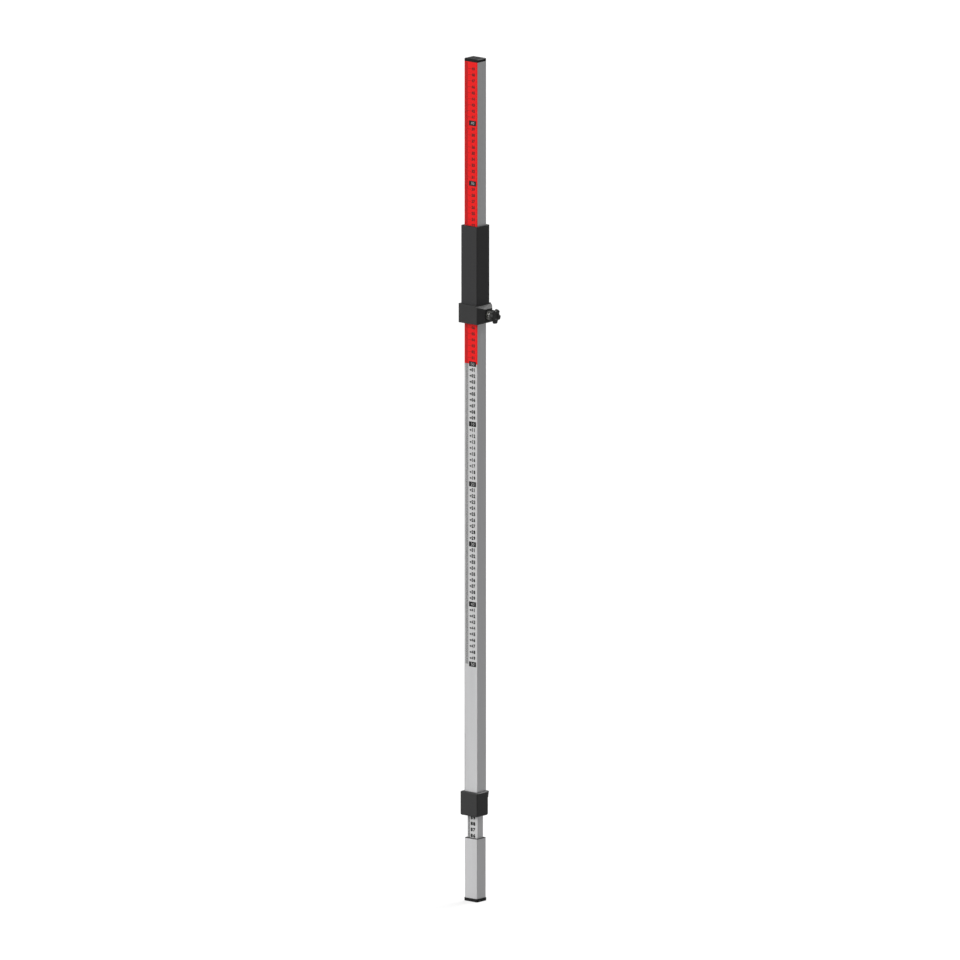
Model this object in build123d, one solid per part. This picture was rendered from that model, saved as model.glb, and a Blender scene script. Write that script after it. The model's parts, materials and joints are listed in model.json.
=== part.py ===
from build123d import *
import os

# Telescopic levelling staff for a laser receiver, in millimetres.
# +Z is up and the origin is on the ground, in the middle of the foot's underside.
# The scales face -Y, the carriage's clamp knob points to +X, the cam lever is at the back (+Y).

# Fits between pieces
fit = 0.05                  # gap round a piece that is fixed in its seat
slide_gap = 0.08            # running gap of a guide on the tube that it slides on
hole_gap = 0.05             # gap round a fixed pin, rivet or screw
turn_gap = 0.06             # radial gap of a pin or screw that turns in its hole
press_gap = 0.1             # gap between a clamped face and the pad or shoe pressed on it
edge_share = 0.4            # most of a thickness that a broken edge takes from one side

# Inner tube, an extruded aluminium section with a channel for its scale
inner_width = 21.9
inner_depth = 14.0
inner_wall = 1.4
inner_corner = 0.9

# Outer tube, spaced from the inner tube by the room for the guides
guide_room_x = 1.5
guide_room_y = 2.75
tube_wall = 1.5
tube_corner = 0.9
bare_length = 233.5         # outer tube below the scale

# Printed scale tapes, which lie just below the rails of their channels
tape_thickness = 0.25
channel_depth = 0.3
channel_rail = 1.05         # width of the rail left at each side of a channel
tape_gap = 0.1              # gap between a tape and the side of its channel
scale_half = 500.0          # length of scale above the zero mark, and below it
scale_top_margin = 1.5      # from the highest mark to the tube's end
scale_tail = 5.0            # blank tape below the lowest mark
inner_tape_margin = 0.3     # from the ends of the inner scale to the foot and the stop collar

# Foot: a short extruded sleeve round the end of the inner tube, with a moulded cap
foot_height = 99.5
foot_side_wall = 2.4
foot_wall = 2.0
foot_corner = 1.5
tongue_thickness = 2.2
tongue_edge = 1.3           # from the side of the foot's bore to a tongue of the bush
bush_rim = 0.6              # height of the bush's rim on the end of the foot sleeve
foot_cap_height = 5.5
foot_cap_overhang = 1.0
foot_cap_chamfer = 0.8
foot_plug_depth = 12.0
foot_plug_wall = 3.4
foot_plug_floor = 2.5
rivet_radius = 1.6
rivet_head_radius = 3.2
rivet_head_height = 1.2
rivet_spacing = 45.0

# Guides on the upper end of the inner tube
stop_height = 14.0
stop_drop = 77.5            # from the inner tube's end down to the stop collar
guide_height = 12.0
guide_stem = 28.0
guide_chamfer = 1.0
guide_pocket_wall = 2.6
guide_pocket_floor = 10.0
guide_pin_radius = 1.5
guide_pin_drop = 12.0       # from the inner tube's end down to the upper pin
guide_pin_reach = 0.8       # how far a pin stands out inside the tube or the guide

# Top cap, a plug with a flange as large as the tube
cap_flange = 5.0
cap_chamfer = 0.8
cap_plug_depth = 18.0
cap_plug_wall = 1.6
cap_plug_lead = 0.8

# Telescope at rest, nearly closed
rest_gap = 38.5             # inner tube that shows between the foot and the clamp
head_room = 118.0           # from the top guide up to the plug of the top cap

# Clamp at the lower end of the outer tube
housing_height = 40.0
housing_side_wall = 4.2
housing_front_wall = 5.8
housing_back_wall = 1.8
housing_front_corner = 2.0
housing_back_corner = 4.2
housing_top_chamfer = 1.4
housing_bottom_chamfer = 1.8
throat_height = 14.5        # from the housing's underside to the end of the outer tube
lip_thickness = 2.0
lip_gap = 0.8
core_edge = 6.6             # from the housing's sides to the moulding core in its front wall
core_skin = 1.7
core_roof = 8.0
housing_screw_spacing = 11.0
screw_shank_radius = 1.4
screw_head_radius = 2.6
screw_head_height = 1.8

# Cam lever that presses the brake shoe against the inner tube
shoe_width = 9.0
shoe_height = 8.0
shoe_side_gap = 0.1
shoe_chamfer = 0.4
cam_radius = 4.4
cam_throw = 0.9
cam_gap = 0.3
hub_width = 8.8
hub_side_gap = 0.4
ear_thickness = 3.2
ear_radius = 3.6
lever_pin_radius = 1.5
lever_pin_standoff = 4.0    # from the housing's back to the pin's axis
lever_width = 22.0
lever_thumb_width = 26.6
lever_thickness = 4.0
lever_gap = 0.6
lever_plate_start = 7.0     # from the pin up to the wide part of the lever
lever_tip_drop = 1.35       # from the housing's top down to the lever's tip
lever_flare_length = 11.2
lever_flare = 2.6
lever_tip_thickness = 3.4
lever_chamfer = 0.8

# Carriage: an extruded sleeve in a moulded collar, running on two liners
carriage_rise = 68.0        # from the zero mark up to the collar's underside at rest
collar_height = 31.5
collar_wall = 3.1
collar_corner = 1.6
collar_seat = 6.5           # from the collar's underside to the end of the sleeve
collar_bore_gap = 0.3
collar_core_edge = 8.0      # from the collar's sides to the moulding cores in its underside
collar_core_skin = 2.6
collar_core_roof = 2.5
sleeve_exposed = 130.0
sleeve_wall = 1.6
sleeve_corner = 1.5
liner_side = 1.3
liner_front = 3.3
liner_height = 24.0
liner_chamfer = 0.7

# Nose of the collar, which tapers to the clamp screw
nose_length = 8.25
nose_end_width = 19.0
nose_roof_start = 1.8       # from the collar's top to where the nose's roof leaves the sleeve
nose_roof_drop = 6.1        # from the collar's top to the top of the nose's end
nose_floor_rise = 3.8       # from the collar's underside to the bottom of the nose's end
nose_chamfer = 0.7
insert_radius = 4.2
insert_flange_radius = 7.2
insert_flange = 1.0

# Clamp screw, pad and star knob
thread_radius = 3.0
screw_tip_radius = 2.0
screw_tip_length = 1.5
pad_radius = 4.8
pad_thickness = 3.0
pad_gap = 0.15
pad_pocket_gap = 0.4
pad_travel = 1.5
pad_end_gap = 0.5
knob_standoff = 4.9         # from the insert's flange to the knob's hub
knob_hub_radius = 6.0
knob_hub_length = 5.0
knob_head_thickness = 5.5
screw_root = 3.4            # how far the clamp screw reaches into the knob's head
knob_radius = 12.2
knob_lobes = 5
knob_turned = 54.6          # angle of the first lobe, in degrees
scallop_radius = 4.6
scallop_depth = 2.9
lobe_round = 2.2
knob_edge_chamfer = 1.1
knob_dish_radius = 5.0
knob_dish_depth = 0.8

# Heights and half sizes that follow from the sizes above
foot_top = foot_cap_height + foot_height
rim_top = foot_top + bush_rim
housing_bottom = foot_top + rest_gap
housing_top = housing_bottom + housing_height
lip_top = housing_bottom + lip_thickness
tube_bottom = housing_bottom + throat_height
scale_bottom = tube_bottom + bare_length
zero_mark = scale_bottom + scale_tail + scale_half
tube_top = zero_mark + scale_half + scale_top_margin
inner_bottom = foot_cap_height + foot_plug_depth
inner_top = tube_top - cap_plug_depth - head_room - guide_height
stop_top = inner_top - stop_drop
stop_bottom = stop_top - stop_height

foot_bore_width = inner_width + 2 * fit
foot_bore_depth = inner_depth + 2 * (tongue_thickness + fit)
foot_width = foot_bore_width + 2 * foot_side_wall
foot_depth = foot_bore_depth + 2 * foot_wall

bore_width = inner_width + 2 * guide_room_x
bore_depth = inner_depth + 2 * guide_room_y
tube_width = bore_width + 2 * tube_wall
tube_depth = bore_depth + 2 * tube_wall
guide_width = bore_width - 2 * slide_gap
guide_depth = bore_depth - 2 * slide_gap

housing_width = tube_width + 2 * (fit + housing_side_wall)
housing_front = tube_depth / 2 + fit + housing_front_wall
housing_back = tube_depth / 2 + fit + housing_back_wall
bush_width = bore_width + tube_wall
bush_depth = bore_depth + tube_wall

pin_y = housing_back + lever_pin_standoff
pin_z = (lip_top + tube_bottom) / 2
shoe_front = inner_depth / 2 + press_gap
shoe_back = pin_y - cam_radius - cam_throw - cam_gap
window_width = max(shoe_width, hub_width) + 2 * hub_side_gap
ear_inside = max(hub_width / 2 + hub_side_gap, window_width / 2)
ear_outside = ear_inside + ear_thickness

collar_bottom = zero_mark + carriage_rise
collar_top = collar_bottom + collar_height
sleeve_bottom = collar_bottom + collar_seat
sleeve_top = collar_top + sleeve_exposed
sleeve_bore_width = tube_width + 2 * (slide_gap + liner_side + fit)
sleeve_bore_depth = tube_depth + 2 * (slide_gap + liner_front + fit)
sleeve_width = sleeve_bore_width + 2 * sleeve_wall
sleeve_depth = sleeve_bore_depth + 2 * sleeve_wall
collar_width = sleeve_width + 2 * (fit + collar_wall)
collar_depth = sleeve_depth + 2 * (fit + collar_wall)

nose_end = collar_width / 2 + nose_length
nose_end_top = collar_top - nose_roof_drop
nose_end_bottom = collar_bottom + nose_floor_rise
clamp_z = (nose_end_top + nose_end_bottom) / 2
pad_face = tube_width / 2 + press_gap
pad_back = pad_face + pad_thickness
pocket_end = pad_back + pad_travel + pad_end_gap
flange_face = nose_end + insert_flange
screw_shoulder = pad_back + press_gap
knob_back = flange_face + knob_standoff
head_back = knob_back + knob_hub_length
knob_face = head_back + knob_head_thickness
screw_end = head_back + screw_root

BASE = (Align.CENTER, Align.CENTER, Align.MIN)


def bar(width, depth, corner, bottom, top, y=0.0):
    """Upright bar of rounded rectangular section."""
    return Pos(0, y, bottom) * extrude(RectangleRounded(width, depth, corner), top - bottom)


def block(x, y, z):
    """Block between pairs of limits along X, Y and Z."""
    centre = Pos((x[0] + x[1]) / 2, (y[0] + y[1]) / 2, (z[0] + z[1]) / 2)
    return centre * Box(x[1] - x[0], y[1] - y[0], z[1] - z[0])


def rod_x(radius, start, end, y=0.0, z=0.0):
    """Round rod along X."""
    return Pos(start, y, z) * Rot(0, 90, 0) * Cylinder(radius, end - start, align=BASE)


def rod_y(radius, start, end, x=0.0, z=0.0):
    """Round rod along Y."""
    return Pos(x, start, z) * Rot(-90, 0, 0) * Cylinder(radius, end - start, align=BASE)


def channel_tube(width, depth, wall, corner, bottom, top):
    """Extruded tube with a shallow channel for a scale tape down its front."""
    outside = RectangleRounded(width, depth, corner)
    bore = Rectangle(width - 2 * wall, depth - 2 * wall)
    channel = Pos(0, -depth / 2) * Rectangle(width - 2 * channel_rail, 2 * channel_depth)
    return Pos(0, 0, bottom) * extrude(outside - bore - channel, top - bottom)


def scale_tape(width, depth, bottom, top):
    """Tape on the floor of the channel in the front of a tube."""
    half = width / 2 - channel_rail - tape_gap
    floor = -depth / 2 + channel_depth
    return block((-half, half), (floor - tape_thickness, floor), (bottom, top))


def rivet_heights():
    """Heights of the two rivets through the foot."""
    middle = (inner_bottom + foot_top) / 2
    return middle - rivet_spacing / 2, middle + rivet_spacing / 2


def drill_rivets(piece):
    """Rivet holes through the back of a piece of the foot."""
    for height in rivet_heights():
        piece -= rod_y(rivet_radius + hole_gap, 0, foot_depth, z=height)
    return piece


def make_foot_cap():
    """Moulded foot: a flange on the ground and a hollow plug up into the foot sleeve."""
    wide = foot_width + 2 * foot_cap_overhang
    deep = foot_depth + 2 * foot_cap_overhang
    cap = bar(wide, deep, foot_corner + foot_cap_overhang, 0, foot_cap_height)
    cap = chamfer(cap.edges().group_by(Axis.Z)[0], foot_cap_chamfer)
    plug_width = foot_bore_width - 2 * fit
    plug_depth = foot_bore_depth - 2 * fit
    cap += block((-plug_width / 2, plug_width / 2), (-plug_depth / 2, plug_depth / 2),
                 (foot_cap_height, inner_bottom))
    hollow_x = plug_width / 2 - foot_plug_wall
    hollow_y = inner_depth / 2 - foot_plug_wall
    return cap - block((-hollow_x, hollow_x), (-hollow_y, hollow_y), (foot_plug_floor, inner_bottom))


def make_foot_sleeve():
    """Short extruded sleeve that brings the foot to the size of the outer tube."""
    sleeve = bar(foot_width, foot_depth, foot_corner, foot_cap_height, foot_top)
    sleeve -= block((-foot_bore_width / 2, foot_bore_width / 2),
                    (-foot_bore_depth / 2, foot_bore_depth / 2), (foot_cap_height, foot_top))
    return drill_rivets(sleeve)


def make_foot_bush():
    """Moulded bush round the inner tube: a rim on the sleeve's end and two tongues down inside it."""
    near = inner_depth / 2
    bush = bar(foot_width, foot_depth, foot_corner, foot_top, rim_top)
    bush -= block((-foot_bore_width / 2, foot_bore_width / 2), (-near, near), (foot_top, rim_top))
    half = foot_bore_width / 2 - tongue_edge
    tongue = block((-half, half), (near, near + tongue_thickness), (inner_bottom, foot_top))
    return drill_rivets(bush + tongue + mirror(tongue, Plane.XZ))


def make_foot_rivets():
    """Two blind rivets through the back of the foot."""
    rivets = []
    seat = foot_depth / 2
    for height in rivet_heights():
        shank = rod_y(rivet_radius, inner_depth / 2 - inner_wall, seat, z=height)
        rivets.append(shank + rod_y(rivet_head_radius, seat, seat + rivet_head_height, z=height))
    return Compound(children=rivets)


def make_inner_tube():
    """Inner tube, drilled for the foot's rivets and for the pins of its two guides."""
    tube = channel_tube(inner_width, inner_depth, inner_wall, inner_corner, inner_bottom, inner_top)
    tube = drill_rivets(tube)
    for height in guide_pin_heights():
        tube -= rod_x(guide_pin_radius + hole_gap, 0, inner_width, z=height)
    return tube


def make_inner_scale():
    """Scale tape of the inner tube, from the foot to the stop collar."""
    bottom = rim_top + inner_tape_margin
    return scale_tape(inner_width, inner_depth, bottom, stop_bottom - inner_tape_margin)


def guide_pin_heights():
    """Heights of the pins through the stop collar and the top guide."""
    return (stop_bottom + stop_top) / 2, inner_top - guide_pin_drop


def make_stop_collar():
    """Sliding collar round the inner tube that stops it in the clamp when it is drawn out."""
    collar = block((-guide_width / 2, guide_width / 2), (-guide_depth / 2, guide_depth / 2),
                   (stop_bottom, stop_top))
    collar = chamfer(collar.edges().filter_by(Axis.Z), guide_chamfer)
    seat_x = inner_width / 2 + fit
    seat_y = inner_depth / 2 + fit
    collar -= block((-seat_x, seat_x), (-seat_y, seat_y), (stop_bottom, stop_top))
    return collar - rod_x(guide_pin_radius + hole_gap, 0, tube_width, z=guide_pin_heights()[0])


def make_top_guide():
    """Plug in the upper end of the inner tube, with a head that slides in the outer tube."""
    head = block((-guide_width / 2, guide_width / 2), (-guide_depth / 2, guide_depth / 2),
                 (inner_top, inner_top + guide_height))
    head = chamfer(head.edges().filter_by(Axis.Z) + head.edges().group_by(Axis.Z)[-1], guide_chamfer)
    stem_x = inner_width / 2 - inner_wall - fit
    stem_y = inner_depth / 2 - inner_wall - fit
    stem_bottom = inner_top - guide_stem
    guide = head + block((-stem_x, stem_x), (-stem_y, stem_y), (stem_bottom, inner_top))
    pocket_x = stem_x - guide_pocket_wall
    pocket_y = stem_y - guide_pocket_wall
    guide -= block((-pocket_x, pocket_x), (-pocket_y, pocket_y),
                   (stem_bottom + guide_pocket_floor, inner_top + guide_height))
    return guide - rod_x(guide_pin_radius + hole_gap, 0, tube_width, z=guide_pin_heights()[1])


def make_guide_pins():
    """Pins in the right side of the stop collar and of the top guide."""
    stop_z, guide_z = guide_pin_heights()
    tube_inside = inner_width / 2 - inner_wall
    stop_start = tube_inside - guide_pin_reach
    guide_start = tube_inside - fit - guide_pocket_wall - guide_pin_reach
    return Compound(children=[
        rod_x(guide_pin_radius, stop_start, guide_width / 2 - press_gap, z=stop_z),
        rod_x(guide_pin_radius, guide_start, inner_width / 2 - press_gap, z=guide_z),
    ])


def make_outer_tube():
    """Outer tube, drilled on the left for the screws of the clamp housing."""
    tube = channel_tube(tube_width, tube_depth, tube_wall, tube_corner, tube_bottom, tube_top)
    for y in (-housing_screw_spacing / 2, housing_screw_spacing / 2):
        tube -= rod_x(screw_shank_radius + hole_gap, -tube_width, 0, y=y, z=housing_screw_height())
    return tube


def make_top_cap():
    """Cap with a flange flush with the outer tube and a hollow plug inside it."""
    flange = bar(tube_width, tube_depth, tube_corner, tube_top, tube_top + cap_flange)
    flange = chamfer(flange.edges().group_by(Axis.Z)[-1], cap_chamfer)
    plug_x = bore_width / 2 - fit
    plug_y = bore_depth / 2 - fit
    plug_bottom = tube_top - cap_plug_depth
    plug = block((-plug_x, plug_x), (-plug_y, plug_y), (plug_bottom, tube_top))
    plug = chamfer(plug.edges().group_by(Axis.Z)[0], cap_plug_lead)
    hollow_x = plug_x - cap_plug_wall
    hollow_y = plug_y - cap_plug_wall
    return flange + plug - block((-hollow_x, hollow_x), (-hollow_y, hollow_y), (plug_bottom, tube_top))


def make_plus_scale():
    """Upper half of the scale, above the zero mark."""
    return scale_tape(tube_width, tube_depth, zero_mark, tube_top)


def make_minus_scale():
    """Lower half of the scale, below the zero mark."""
    return scale_tape(tube_width, tube_depth, scale_bottom, zero_mark)


def housing_screw_height():
    """Height of the screws that hold the clamp housing on the outer tube."""
    return (tube_bottom + housing_top) / 2


def make_clamp_housing():
    """Moulded clamp housing: a socket for the outer tube over a throat for the inner tube."""
    middle = (housing_back - housing_front) / 2
    section = Pos(0, middle) * Rectangle(housing_width, housing_front + housing_back)
    section = fillet(section.vertices().group_by(Axis.Y)[0], housing_front_corner)
    section = fillet(section.vertices().group_by(Axis.Y)[-1], housing_back_corner)
    housing = Pos(0, 0, housing_bottom) * extrude(section, housing_height)
    top_chamfer = min(housing_top_chamfer, 2 * edge_share * housing_back_wall)
    housing = chamfer(housing.edges().group_by(Axis.Z)[-1], top_chamfer)
    housing = chamfer(housing.edges().group_by(Axis.Z)[0], housing_bottom_chamfer)
    ear = Plane.YZ * (Pos(pin_y, pin_z) * Circle(ear_radius)
                      + Pos((pin_y + tube_depth / 2) / 2, pin_z)
                      * Rectangle(pin_y - tube_depth / 2, 2 * ear_radius))
    for left in (-ear_outside, ear_inside):
        housing += Pos(left, 0, 0) * extrude(ear, ear_thickness)
    housing -= bar(tube_width + 2 * fit, tube_depth + 2 * fit, tube_corner, tube_bottom, housing_top)
    throat_x = bush_width / 2 + fit
    throat_y = bush_depth / 2 + fit
    housing -= block((-throat_x, throat_x), (-throat_y, throat_y), (lip_top, tube_bottom))
    lip_x = inner_width / 2 + lip_gap
    lip_y = inner_depth / 2 + lip_gap
    housing -= block((-lip_x, lip_x), (-lip_y, lip_y), (housing_bottom, lip_top))
    core_x = housing_width / 2 - core_edge
    core_front = -housing_front + core_skin
    housing -= block((-core_x, core_x), (core_front, core_front + housing_front_wall - 2 * core_skin),
                     (housing_bottom, housing_top - core_roof))
    housing -= block((-window_width / 2, window_width / 2), (0, pin_y + ear_radius),
                     (pin_z - ear_radius - cam_throw, pin_z + ear_radius + cam_throw))
    housing -= rod_x(lever_pin_radius + hole_gap, -ear_outside, ear_outside, y=pin_y, z=pin_z)
    outside = -housing_width / 2
    height = housing_screw_height()
    for y in (-housing_screw_spacing / 2, housing_screw_spacing / 2):
        housing -= rod_x(screw_shank_radius + hole_gap, outside, 0, y=y, z=height)
        housing -= rod_x(screw_head_radius + hole_gap, outside, outside + screw_head_height, y=y, z=height)
    return housing


def make_throat_bush():
    """Plain bush round the inner tube, held in the throat by the end of the outer tube."""
    bush = block((-bush_width / 2, bush_width / 2), (-bush_depth / 2, bush_depth / 2),
                 (lip_top, tube_bottom))
    bore_x = inner_width / 2 + slide_gap
    bore_y = inner_depth / 2 + slide_gap
    bush -= block((-bore_x, bore_x), (-bore_y, bore_y), (lip_top, tube_bottom))
    side = shoe_width / 2 + shoe_side_gap
    rise = shoe_height / 2 + shoe_side_gap
    return bush - block((-side, side), (0, bush_depth), (pin_z - rise, pin_z + rise))


def make_housing_screws():
    """Two pan-head screws through the left side of the clamp housing into the outer tube."""
    screws = []
    outside = -housing_width / 2
    seat = outside + screw_head_height
    for y in (-housing_screw_spacing / 2, housing_screw_spacing / 2):
        head = rod_x(screw_head_radius, outside, seat, y=y, z=housing_screw_height())
        shank = rod_x(screw_shank_radius, seat, -bore_width / 2, y=y, z=housing_screw_height())
        screws.append(head + shank)
    return Compound(children=screws)


def make_lever_pin():
    """Pin through the ears of the housing and the hub of the lever."""
    return rod_x(lever_pin_radius, -ear_outside, ear_outside, y=pin_y, z=pin_z)


def make_clamp_lever():
    """Cam lever: an eccentric hub between the ears and a plate with a wider, flared thumb end."""
    inside = housing_back + lever_gap
    outside = inside + lever_thickness
    plate_z = pin_z + lever_plate_start
    tip_z = housing_top - lever_tip_drop
    flare_z = tip_z - lever_flare_length
    hub = Plane.YZ * (Pos(pin_y - cam_throw, pin_z) * Circle(cam_radius)
                      + Pos((inside + outside) / 2, pin_z + lever_plate_start / 2)
                      * Rectangle(lever_thickness, lever_plate_start))
    tip_inside = inside + lever_flare
    tip_outside = tip_inside + lever_tip_thickness
    side = Polyline((inside, plate_z), (inside, flare_z), (tip_inside, tip_z), (tip_outside, tip_z),
                    (outside, flare_z), (outside, plate_z), close=True)
    thumb_side = Polyline((inside, flare_z), (tip_inside, tip_z), (tip_outside, tip_z),
                          (outside, flare_z), close=True)
    plate = Pos(-lever_width / 2, 0, 0) * extrude(Plane.YZ * make_face(side), lever_width)
    thumb = extrude(Plane.YZ * make_face(thumb_side), lever_thumb_width)
    thumb = Pos(-lever_thumb_width / 2, 0, 0) * thumb
    edge = min(lever_chamfer, edge_share * lever_thickness, edge_share * lever_tip_thickness)
    lever = chamfer(plate.edges(), edge) + chamfer(thumb.edges(), edge)
    lever += Pos(-hub_width / 2, 0, 0) * extrude(hub, hub_width)
    neck = block((-hub_width / 2, hub_width / 2), (inside + edge, outside - edge),
                 (pin_z, plate_z + 2 * edge))
    return lever + neck - rod_x(lever_pin_radius + turn_gap, -lever_width, lever_width, y=pin_y, z=pin_z)


def make_clamp_shoe():
    """Brake shoe between the cam and the inner tube."""
    shoe = block((-shoe_width / 2, shoe_width / 2), (shoe_front, shoe_back),
                 (pin_z - shoe_height / 2, pin_z + shoe_height / 2))
    return chamfer(shoe.edges().filter_by(Axis.Y), shoe_chamfer)


def make_carriage_sleeve():
    """Extruded sleeve of the carriage, which a laser receiver's bracket is clamped to."""
    sleeve = bar(sleeve_width, sleeve_depth, sleeve_corner, sleeve_bottom, sleeve_top)
    sleeve -= block((-sleeve_bore_width / 2, sleeve_bore_width / 2),
                    (-sleeve_bore_depth / 2, sleeve_bore_depth / 2), (sleeve_bottom, sleeve_top))
    sleeve -= rod_x(pad_radius + pad_gap, 0, sleeve_width, z=clamp_z)
    for height in carriage_screw_heights():
        sleeve -= rod_y(screw_shank_radius + hole_gap, 0, sleeve_depth, z=height)
    return sleeve


def carriage_screw_heights():
    """Heights of the screws in the back of the carriage, in the collar and near the sleeve's top."""
    return (sleeve_bottom + collar_top) / 2, sleeve_top - liner_height / 2


def make_collar_nose():
    """Nose on the right of the collar, tapering from its full side to the end round the clamp screw."""
    side = collar_width / 2
    roof_top = collar_top - nose_roof_start
    slope = (roof_top - nose_end_top) / (nose_end - sleeve_width / 2)
    base_top = roof_top - slope * (side - sleeve_width / 2)
    half_base = (collar_depth - collar_corner) / 2
    half_end = nose_end_width / 2
    profile = Polyline((side, collar_bottom), (nose_end, nose_end_bottom), (nose_end, nose_end_top),
                       (side, base_top), close=True)
    plan = Polyline((side, -half_base), (nose_end, -half_end), (nose_end, half_end),
                    (side, half_base), close=True)
    nose = extrude(Plane.XZ * make_face(profile), collar_depth, both=True)
    nose &= Pos(0, 0, collar_bottom) * extrude(make_face(plan), collar_height)
    nose = chamfer(nose.edges().group_by(Axis.X)[1], nose_chamfer)
    roof = Polyline((sleeve_width / 2, roof_top), (side, base_top), (side, collar_top),
                    (sleeve_width / 2, collar_top), close=True)
    roof_cut = extrude(Plane.XZ * make_face(roof), collar_depth, both=True)
    return nose, roof_cut


def make_carriage_collar():
    """Moulded collar round the lower end of the sleeve, with the nose for the clamp screw."""
    collar = bar(collar_width, collar_depth, collar_corner, collar_bottom, collar_top)
    nose, roof_cut = make_collar_nose()
    collar = collar - roof_cut + nose
    collar -= bar(sleeve_width + 2 * fit, sleeve_depth + 2 * fit, sleeve_corner, sleeve_bottom, collar_top)
    bore_x = tube_width / 2 + collar_bore_gap
    bore_y = tube_depth / 2 + collar_bore_gap
    collar -= block((-bore_x, bore_x), (-bore_y, bore_y), (collar_bottom, sleeve_bottom))
    core_x = collar_width / 2 - collar_core_edge
    core = block((-core_x, core_x), (bore_y + collar_core_skin, collar_depth / 2 - collar_core_skin),
                 (collar_bottom, sleeve_bottom - collar_core_roof))
    collar -= core + mirror(core, Plane.XZ)
    collar -= rod_x(pad_radius + pad_pocket_gap, 0, pocket_end, z=clamp_z)
    collar -= rod_x(insert_radius, pocket_end, nose_end, z=clamp_z)
    low_screw = carriage_screw_heights()[0]
    head_seat = collar_depth / 2 - screw_head_height
    collar -= rod_y(screw_shank_radius + hole_gap, 0, collar_depth, z=low_screw)
    return collar - rod_y(screw_head_radius + hole_gap, head_seat, collar_depth, z=low_screw)


def make_liner(bottom):
    """Plain liner in the sleeve that runs on the outer tube, with a lead at both ends of its bore."""
    top = bottom + liner_height
    half_x = sleeve_bore_width / 2 - fit
    half_y = sleeve_bore_depth / 2 - fit
    liner = block((-half_x, half_x), (-half_y, half_y), (bottom, top))
    bore_x = tube_width / 2 + slide_gap
    bore_y = tube_depth / 2 + slide_gap
    liner -= block((-bore_x, bore_x), (-bore_y, bore_y), (bottom, top))
    lead = loft([Pos(0, 0, top - liner_chamfer) * Rectangle(2 * bore_x, 2 * bore_y),
                 Pos(0, 0, top) * Rectangle(2 * (bore_x + liner_chamfer), 2 * (bore_y + liner_chamfer))])
    liner -= lead + mirror(lead, Plane.XY.offset((bottom + top) / 2))
    for height in carriage_screw_heights():
        liner -= rod_y(screw_shank_radius + hole_gap, 0, sleeve_depth, z=height)
    return liner


def make_lower_liner():
    """Liner on the collar's ledge, with a hole for the clamp pad."""
    return make_liner(sleeve_bottom) - rod_x(pad_radius + pad_gap, 0, sleeve_width, z=clamp_z)


def make_upper_liner():
    """Liner flush with the top of the sleeve."""
    return make_liner(sleeve_top - liner_height)


def make_carriage_screws():
    """Screws that hold the liners in the sleeve, the lower one through the collar as well."""
    low, high = carriage_screw_heights()
    screws = []
    tip = tube_depth / 2 + slide_gap + press_gap
    for height, seat in ((low, collar_depth / 2 - screw_head_height), (high, sleeve_depth / 2)):
        head = rod_y(screw_head_radius, seat, seat + screw_head_height, z=height)
        screws.append(head + rod_y(screw_shank_radius, tip, seat, z=height))
    return Compound(children=screws)


def make_threaded_insert():
    """Plated insert with a flange on the end of the nose, which the clamp screw turns in."""
    insert = rod_x(insert_radius, pocket_end, nose_end, z=clamp_z)
    insert += rod_x(insert_flange_radius, nose_end, flange_face, z=clamp_z)
    return insert - rod_x(thread_radius, pocket_end, flange_face, z=clamp_z)


def make_pressure_pad():
    """Round pad on the tip of the clamp screw that presses on the side of the outer tube."""
    pad = rod_x(pad_radius, pad_face, pad_back, z=clamp_z)
    socket_end = pad_back - screw_tip_length
    return pad - rod_x(screw_tip_radius + turn_gap, socket_end, pad_back, z=clamp_z)


def make_clamp_screw():
    """Clamp screw from its tip in the pad to its root in the knob."""
    tip = rod_x(screw_tip_radius, pad_back - screw_tip_length + press_gap, screw_shoulder, z=clamp_z)
    return tip + rod_x(thread_radius - turn_gap, screw_shoulder, screw_end, z=clamp_z)


def make_star_knob():
    """Star knob with rounded lobes, a hub towards the collar and a shallow dish in its face."""
    outline = Circle(knob_radius)
    for lobe in range(knob_lobes):
        turn = Rot(0, 0, knob_turned + (lobe + 0.5) * 360 / knob_lobes)
        outline -= turn * Pos(knob_radius + scallop_radius - scallop_depth, 0) * Circle(scallop_radius)
    outline = fillet(outline.vertices(), lobe_round)
    front = Plane((head_back, 0, clamp_z), x_dir=(0, 1, 0), z_dir=(1, 0, 0))
    head = extrude(front * outline, knob_head_thickness)
    face_radius = knob_radius - knob_edge_chamfer
    blank = Cone(face_radius + knob_head_thickness, face_radius, knob_head_thickness, align=BASE)
    head &= Pos(head_back, 0, clamp_z) * Rot(0, 90, 0) * blank
    knob = head + rod_x(knob_hub_radius, knob_back, head_back, z=clamp_z)
    knob -= rod_x(thread_radius - turn_gap, knob_back, screw_end, z=clamp_z)
    return knob - rod_x(knob_dish_radius, knob_face - knob_dish_depth, knob_face, z=clamp_z)


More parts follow.
